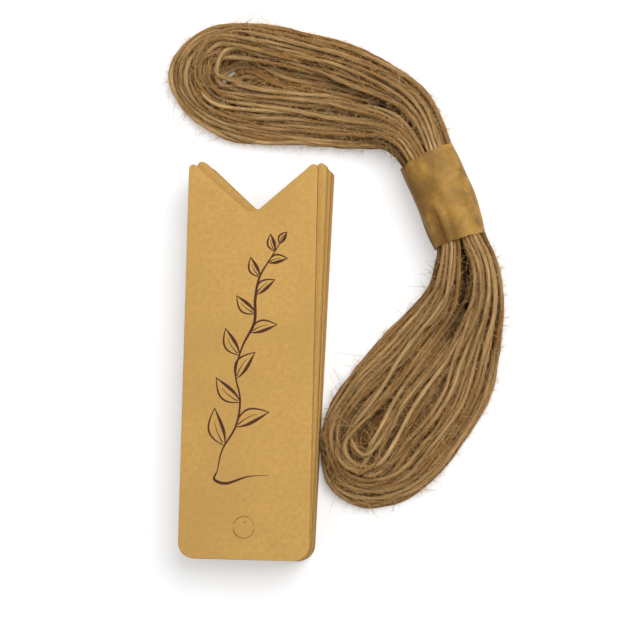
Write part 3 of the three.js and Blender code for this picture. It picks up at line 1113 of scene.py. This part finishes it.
def rounded_outline(corners, arc_steps, edge_steps):
    """A closed outline with rounded corners: tangent arcs, and even points along the straights."""
    arcs = []
    for i, (x, y, radius) in enumerate(corners):
        corner = np.array([x, y])
        before = np.array(corners[i - 1][:2]) - corner
        after = np.array(corners[(i + 1) % len(corners)][:2]) - corner
        before = before / np.linalg.norm(before)
        after = after / np.linalg.norm(after)
        half = np.arccos(before @ after) / 2
        inward = (before + after) / np.linalg.norm(before + after)
        centre = corner + inward * radius / np.sin(half)
        first = corner + before * radius / np.tan(half) - centre
        last = corner + after * radius / np.tan(half) - centre
        sweep = np.arctan2(first[0] * last[1] - first[1] * last[0], first @ last)
        turn = sweep * np.linspace(0, 1, arc_steps + 1)
        arc_x = centre[0] + first[0] * np.cos(turn) - first[1] * np.sin(turn)
        arc_y = centre[1] + first[0] * np.sin(turn) + first[1] * np.cos(turn)
        arcs.append(np.column_stack([arc_x, arc_y]))
    line = []
    share = np.linspace(0, 1, edge_steps + 1)[1:-1, None]
    for i, arc in enumerate(arcs):
        following = arcs[(i + 1) % len(arcs)]
        line.append(arc)
        line.append(arc[-1] + (following[0] - arc[-1]) * share)
    return np.vstack(line)


def card_outline(cards):
    """Outline of a card: a foot with round corners, two long sides, two tails and the notch."""
    half = cards.width / MM / 2
    top = cards.length / MM / 2
    tip = top + TAIL_RADIUS / np.tan((90 - NOTCH_ANGLE) / 2 * DEGREE) - TAIL_RADIUS
    root = tip - half * np.tan(NOTCH_ANGLE * DEGREE)
    corners = [
        (-half, -top, FOOT_RADIUS), (half, -top, FOOT_RADIUS), (half, tip, TAIL_RADIUS),
        (0.0, root, NOTCH_RADIUS), (-half, tip, TAIL_RADIUS),
    ]
    return rounded_outline(corners, 10, 8)


def card_place(number):
    """Where a card lies in the pile: its shift and turn in the frame, and its height."""
    below = CARDS - number
    count = 0
    for tags, x, y, turn in TAG_GROUPS:
        count += tags
        if below < count:
            break
    x = x + 0.12 * np.sin(2.4 * below)
    y = y + 0.12 * np.sin(3.7 * below)
    turn = (turn + 0.12 * np.sin(1.9 * below)) * DEGREE
    return x, y, turn, (number - 1) * CARD_PITCH


def lay_in_pile(points, number):
    """Points of a card, its disc or its print, from the card's own frame to its place in the pile.

    Each card is slightly uneven, by under a fiftieth of a millimetre, so that the pile stays
    parted, and the bottom card doesn't dip under the table.
    """
    wave = np.sin(points[:, 0] * 0.13 + number * 1.7) * np.cos(points[:, 1] * 0.061 + number * 2.3)
    height = points[:, 2] + 0.016 * wave
    if number == 1:
        height = np.maximum(height, 0.0)
    x, y, turn, z = card_place(number)
    c = np.cos(turn)
    s = np.sin(turn)
    return np.column_stack([
        x + points[:, 0] * c - points[:, 1] * s,
        y + points[:, 0] * s + points[:, 1] * c,
        z + height,
    ])


def card_mesh(number, outline, cards):
    """One card: a grid whose columns follow the outline. Its rows start at the string hole's top
    rim, run out over the face as shares of the way from hole to outline, round the cut edge by a
    quarter circle, pass down it, and come back under to the hole's lower rim and up its wall."""
    count = len(outline)
    away = outline - HOLE
    bearing = np.arctan2(away[:, 1], away[:, 0])
    rim = HOLE + HOLE_RADIUS * np.column_stack([np.cos(bearing), np.sin(bearing)])
    ahead = np.roll(outline, -1, axis=0) - np.roll(outline, 1, axis=0)
    normal = np.column_stack([ahead[:, 1], -ahead[:, 0]])
    normal /= np.linalg.norm(normal, axis=1, keepdims=True)
    rounding = cards.edge_round / MM
    inner = outline - normal * rounding
    face = [rim + (inner - rim) * share for share in (0.0, 0.03, 0.12, 0.3, 0.55, 0.8, 0.95)]
    quarter = np.array([0, 30, 60, 90]) * DEGREE
    turned = [inner + normal * rounding * np.sin(angle) for angle in quarter]
    drop = rounding * (1 - np.cos(quarter))
    cut = [0.0, 0.0, 1.0, 1.0]
    top = CARD_THICKNESS
    flat = np.stack(face + turned + turned[::-1] + face[::-1] + [rim, rim])
    level = np.zeros(len(face))
    height = np.concatenate([level + top, top - drop, drop[::-1], level, [top * 0.2, top * 0.8]])
    edge = np.concatenate([level, cut, cut[::-1], level, [1.0, 1.0]])
    height = height[:, None] + np.zeros(count)
    points = np.concatenate([flat, height[..., None]], -1).reshape(-1, 3)
    quads = grid_faces(len(flat), count, wrap_rows=True, wrap_columns=True)[:, ::-1]
    marks = {"edge": np.repeat(edge, count)}
    name = f"kraft_card_{number:02d}"
    return make_object(name, lay_in_pile(points, number), quads, attributes=marks, sharp=40)


def disc_mesh(number):
    """A punched disc: a small round button of board, turned about the hole's middle, with the
    rounded rim that the punch leaves, and a dished top."""
    radius = DISC_RADIUS
    top = CARD_THICKNESS
    dish = 0.012
    profile = np.array([
        [0.5, top - dish], [1.2, top - 0.010], [1.9, top - 0.006], [radius - 0.10, top],
        [radius - 0.03, top - 0.02], [radius, top - 0.06], [radius, 0.06],
        [radius - 0.03, 0.02], [radius - 0.10, 0.0], [1.5, 0.0], [0.6, 0.0],
    ])
    sides = 56
    angle = np.arange(sides) * 2 * np.pi / sides
    wobble = 1 - 0.006 * (1 + np.sin(3 * angle + number))
    x = HOLE[0] + profile[:, :1] * np.cos(angle) * wobble
    y = HOLE[1] + profile[:, :1] * np.sin(angle) * wobble
    z = profile[:, 1:] + np.zeros(sides)
    poles = np.array([[HOLE[0], HOLE[1], top - dish], [HOLE[0], HOLE[1], 0.0]])
    points = np.vstack([np.stack([x, y, z], -1).reshape(-1, 3), poles])
    quads, caps = tube_faces(len(profile), sides)
    wall = ((profile[:, 0] > radius - 0.05) & (profile[:, 1] < top - 0.01)).astype(float)
    marks = {"edge": np.concatenate([np.repeat(wall, sides), [0.0, 0.0]])}
    name = f"punched_disc_{number:02d}"
    return make_object(name, lay_in_pile(points, number), quads, caps, attributes=marks, sharp=40)


# Print

def leaf_strokes(base, aim, size, bulge):
    """Two curved strokes that close a pointed leaf, and a short rib inside it."""
    along = np.array([np.cos(aim), np.sin(aim)])
    across = np.array([-along[1], along[0]])
    share = np.linspace(0, 1, 26)
    swell = np.sin(np.pi * share)
    belly = np.sin(np.pi * share ** 0.85)
    spine = base + along * size * share[:, None] + across * 0.10 * size * swell[:, None]
    left = spine + across * bulge * size * belly[:, None]
    right = spine - across * bulge * 0.85 * size * belly[:, None]
    rib = spine[2:18]
    return [
        (left, 0.20 + 0.26 * swell),
        (right, 0.20 + 0.62 * swell ** 1.5),
        (rib, np.linspace(0.30, 0.10, len(rib))),
    ]


def sprig_strokes():
    """The printed sprig, in the card's own frame: one long stem that sways as it climbs, leaves
    in turn on both sides, a swash at the foot and a bud at the top."""
    count = 260
    foot = (-6.4, -25.2)
    stem = curve_through([
        foot, (-5.4, -20.5), (-2.4, -15.0), (-1.6, -9.0), (-2.8, -3.0), (-1.4, 3.0),
        (1.2, 8.5), (1.3, 14.0), (2.2, 19.0), (4.8, 23.6), (6.6, 26.6),
    ], count)
    t = np.linspace(0, 1, count)
    stem_width = 0.28 + 0.62 * np.sin(np.pi * t) ** 1.5 * (0.6 + 0.4 * np.sin(10 * t + 0.6))
    strokes = [(stem, stem_width)]
    heading = np.arctan2(*np.gradient(stem, axis=0).T[::-1])
    places = [0.12, 0.20, 0.29, 0.38, 0.47, 0.56, 0.64, 0.72, 0.80, 0.87, 0.94]
    for i, place in enumerate(places):
        at = int(place * (count - 1))
        hand = 1 if i % 2 == 0 else -1
        size = 8.8 * (1 - 0.58 * i / len(places))
        strokes += leaf_strokes(stem[at], heading[at] + hand * 0.80, size, 0.20)
    strokes += leaf_strokes(stem[-1], heading[-1], 3.2, 0.22)
    count = 90
    swash = curve_through([foot, (-7.0, -27.2), (-4.2, -28.0), (0.6, -26.4), (5.4, -26.0)], count)
    swash_width = 0.10 + 0.62 * np.sin(np.pi * np.linspace(0.16, 1, count)) ** 2
    strokes.append((swash, swash_width))
    return strokes


def ribbon(line, width, level):
    """A thin flat stroke: at each point four corners, half a width to either side, the lower two
    sunk in the board and the upper two just above it. Returns its points and faces."""
    ahead = np.gradient(line, axis=0)
    ahead /= np.linalg.norm(ahead, axis=1, keepdims=True)
    across = np.column_stack([-ahead[:, 1], ahead[:, 0]]) * (width / 2)[:, None]
    low = np.full(len(line), CARD_THICKNESS - 0.02)
    high = np.full(len(line), CARD_THICKNESS + level)
    corners = [
        np.column_stack([line + across, low]), np.column_stack([line + across * 0.9, high]),
        np.column_stack([line - across * 0.9, high]), np.column_stack([line - across, low]),
    ]
    points = np.stack(corners, 1).reshape(-1, 3)
    quads = grid_faces(len(line), 4, wrap_columns=True)
    last = (len(line) - 1) * 4
    caps = np.array([[3, 2, 1, 0], [last, last + 1, last + 2, last + 3]])
    return points, np.vstack([quads, caps])


def print_mesh(number, strokes):
    """All strokes of the sprig on one card, as one mesh. Their levels differ a little, so that
    strokes that cross don't share a face."""
    points = []
    faces = []
    count = 0
    for i, (line, width) in enumerate(strokes):
        bit, quads = ribbon(line, width, 0.012 + 0.0006 * (i % 8))
        points.append(bit)
        faces.append(quads + count)
        count += len(bit)
    name = f"printed_sprig_{number:02d}"
    points = lay_in_pile(np.vstack(points), number)
    return make_object(name, points, np.vstack(faces), sharp=30)


def card_body(number):
    """The body a card rides on."""
    return {1: "bottom_card", CARDS: "top_card"}.get(number, f"card_{number:02d}")


# Operators

class KRAFT_OT_stage(bpy.types.Operator):
    """Sets the camera, the lights and the floor"""

    bl_idname = "kraft.stage"
    bl_label = "Stage"

    def execute(self, context):
        stage = context.scene.kraft_stage
        self.add_camera(context, stage)
        self.add_light("key_light", (0.23, 0.22, 0.40), 0.42, stage.key_power)
        self.add_light("fill_light", (-0.55, -0.25, 0.70), 0.80, stage.key_power * 0.6)
        self.add_world(context, stage)
        self.add_floor(stage)
        context.scene.view_settings.view_transform = "Standard"
        return {"FINISHED"}

    def add_camera(self, context, stage):
        """The camera above the table, tilted slightly, facing the middle of the photo."""
        back = np.array([*CAMERA_TILT, 0.0])
        back[2] = np.sqrt(1 - back @ back)
        data = bpy.data.cameras.new("camera")
        data.lens = stage.lens
        data.sensor_width = 36.0
        data.clip_start = 0.01
        data.clip_end = 20.0
        place = np.array(CAMERA_TARGET) * MM + back * stage.distance
        up = np.array([-np.sin(CAMERA_ROLL), np.cos(CAMERA_ROLL), 0.0])
        context.scene.camera = aim_object("camera", data, place, back, up)

    def add_light(self, name, place, size, power):
        """A square soft light that faces the middle of the table."""
        data = bpy.data.lights.new(name, "AREA")
        data.size = size
        data.energy = power
        back = np.array(place) - np.array([0.02, 0.01, 0.0])
        back /= np.linalg.norm(back)
        aim_object(name, data, place, back, [0.0, 1.0, 0.0])

    def add_world(self, context, stage):
        """Even light all round, and plain white where the camera or a gloss sees past the floor."""
        world = bpy.data.worlds.new("surround")
        world.use_nodes = True
        context.scene.world = world
        nodes = Nodes(world.node_tree)
        nodes.tree.nodes.clear()
        even = nodes.add("ShaderNodeBackground", {"Strength": stage.surround})
        plain = {"Color": (1.0, 1.0, 1.0, 1.0), "Strength": 1.0}
        white = nodes.add("ShaderNodeBackground", plain)
        links = {0: nodes.seen(), 1: even.outputs[0], 2: white.outputs[0]}
        mixed = nodes.add("ShaderNodeMixShader", links)
        nodes.add("ShaderNodeOutputWorld", {"Surface": mixed.outputs[0]})

    def add_floor(self, stage):
        """A wide pale floor, a touch lighter to the camera so that it reads as white paper."""
        half = 3000.0
        below = -0.01
        points = np.array([
            [-half, -half, below], [half, -half, below], [half, half, below], [-half, half, below],
        ])
        floor = make_object("floor", points, np.array([[0, 1, 2, 3]]))
        shade = Shader("floor_paper", 0.9, Specular_IOR_Level=0.0)
        faint = shade.ramp(shade.noise(shade.place(), 6.0, 1), 0.3, 0.7)
        shade.join(shade.mix(faint, tinted(stage.floor, 0.995), tuple(stage.floor)), "Base Color")
        shade.surface.inputs["Emission Color"].default_value = (1.0, 1.0, 1.0, 1.0)
        reach = shade.add("ShaderNodeVectorMath", {0: shade.place()}, operation="LENGTH")
        glow = shade.ramp(reach.outputs["Value"], 0.25, 1.2, 0.32, 0.66)
        shade.join(shade.math("MULTIPLY", shade.seen(), glow), "Emission Strength")
        floor.data.materials.append(shade.material)


class KRAFT_OT_twine(bpy.types.Operator):
    """Winds the hank of twine, lets it settle and adds its loose fibres"""

    bl_idname = "kraft.twine"
    bl_label = "Twine"

    def execute(self, context):
        twine = context.scene.kraft_twine
        diameter = twine.diameter / MM
        path, signed, share = twine_path()
        distance = along_line(path)
        generator = np.random.default_rng(11)
        thick = 0.97 + 0.07 * slow_noise(distance, 5, 19, 7, generator)
        thick = thick + 0.025 * slow_noise(distance, 2.2, 4.5, 5, generator)
        # Low strands are thicker, so that they close the slits between those above
        thick = thick * (1 + 0.27 * smooth((2.6 - path[:, 2]) / 0.8))
        radius = diameter / 2 * np.clip(thick, 0.72, 1.32)
        points, quads, triangles, uv = tube(path, radius, TWINE_SIDES, 0.03, 7.0)
        # Painted shade at each point of the tube's skin, which the jute material darkens by
        painted_shade = np.append(twine_painted_shade(path, TWINE_SIDES).ravel(), [0.0, 0.0])
        hank = make_object(
            "jute_hank", points, quads, triangles, uv=uv, attributes={"painted_shade": painted_shade},
        )
        seat(hank, "twine", "jute_twine", jute_material("jute"), "twine_hank")
        material = jute_material("jute_fibre", 1.04, 0.6)
        top = lies_on_top(path)
        kinds = (
            ("loose_fibres", crossing_fibres, twine.loose_fibres, top | (share > 0.86)),
            ("surface_fibres", lying_fibres, twine.surface_fibres, top),
        )
        for name, part, seed in (("upper", signed < 0, 3), ("lower", signed > 0, 4)):
            free = part & (np.abs(signed) > WAIST_HALF + 1)
            generator = np.random.default_rng(seed)
            for kind, grow, wanted, where in kinds:
                grown = grow(path, free & where, wanted, diameter, generator)
                points, quads, triangles, uv = fibre_tubes(*grown, generator)
                fibres = make_object(f"{kind}_{name}", points, quads, triangles, uv=uv)
                seat(fibres, "twine", "jute_twine", material)
        return {"FINISHED"}


class KRAFT_OT_band(bpy.types.Operator):
    """Wraps the paper band round the hank's waist, with its line of glue"""

    bl_idname = "kraft.band"
    bl_label = "Band"

    def execute(self, context):
        band = context.scene.kraft_band
        half = band.length / MM / 2
        angles = np.linspace(BAND_START, BAND_START + 2 * np.pi + BAND_LAP, 300)
        rise = band_rise(angles)
        wrap = strip("paper_wrap", angles, rise, rise + BAND_PAPER, half, 56, band, ragged=0.07)
        seat(wrap, "band", "kraft_paper", band_material(), "paper_band")
        angles = np.linspace(BAND_START + 10 * DEGREE, BAND_START + 35 * DEGREE, 24)
        inner = np.full(24, 0.25)
        outer = np.full(24, 0.35)
        glue = strip("glue_strip", angles, inner, outer, half - 2, 40, band)
        seat(glue, "band", "glue", glue_material(), "band_glue_line")
        return {"FINISHED"}


class KRAFT_OT_cards(bpy.types.Operator):
    """Lays the pile of cards, each with its punched disc in its string hole"""

    bl_idname = "kraft.cards"
    bl_label = "Cards"

    def execute(self, context):
        cards = context.scene.kraft_cards
        outline = card_outline(cards)
        board = card_material("kraft_board")
        marked = card_material("kraft_board_marked", True)
        for number in range(1, CARDS + 1):
            card = card_mesh(number, outline, cards)
            seat(card, card_body(number), "kraft_card", board, f"tag_{number:02d}")
            disc = disc_mesh(number)
            body = "punched_disc" if number == CARDS else card_body(number)
            finish = marked if number == CARDS else board
            seat(disc, body, "kraft_card", finish, f"hole_disc_{number:02d}")
        return {"FINISHED"}


class KRAFT_OT_print(bpy.types.Operator):
    """Prints the leafy sprig on every card"""

    bl_idname = "kraft.print"
    bl_label = "Print"

    def execute(self, context):
        strokes = sprig_strokes()
        ink = ink_material()
        for number in range(1, CARDS + 1):
            seat(print_mesh(number, strokes), card_body(number), "ink", ink)
        return {"FINISHED"}


OPERATORS = (KRAFT_OT_stage, KRAFT_OT_twine, KRAFT_OT_band, KRAFT_OT_cards, KRAFT_OT_print)


class KRAFT_PT_panel(bpy.types.Panel):
    """The tags' tools and settings"""

    bl_idname = "KRAFT_PT_panel"
    bl_label = "Kraft tags"
    bl_space_type = "VIEW_3D"
    bl_region_type = "UI"
    bl_category = "Kraft tags"

    def draw(self, context):
        layout = self.layout
        for operator in OPERATORS:
            layout.operator(operator.bl_idname)
        for key, group in SETTINGS.items():
            box = layout.box()
            box.label(text=group.__doc__)
            for field in group.__annotations__:
                box.prop(getattr(context.scene, key), field)


CLASSES = (*SETTINGS.values(), *OPERATORS, KRAFT_PT_panel)


def register():
    for item in CLASSES:
        bpy.utils.register_class(item)
    for key, group in SETTINGS.items():
        setattr(bpy.types.Scene, key, bpy.props.PointerProperty(type=group))


def unregister():
    for key in SETTINGS:
        delattr(bpy.types.Scene, key)
    for item in reversed(CLASSES):
        bpy.utils.unregister_class(item)


def main():
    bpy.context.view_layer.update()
    register()
    bpy.ops.kraft.stage()
    bpy.ops.kraft.twine()
    bpy.ops.kraft.band()
    bpy.ops.kraft.cards()
    bpy.ops.kraft.print()


if __name__ == "__main__":
    main()
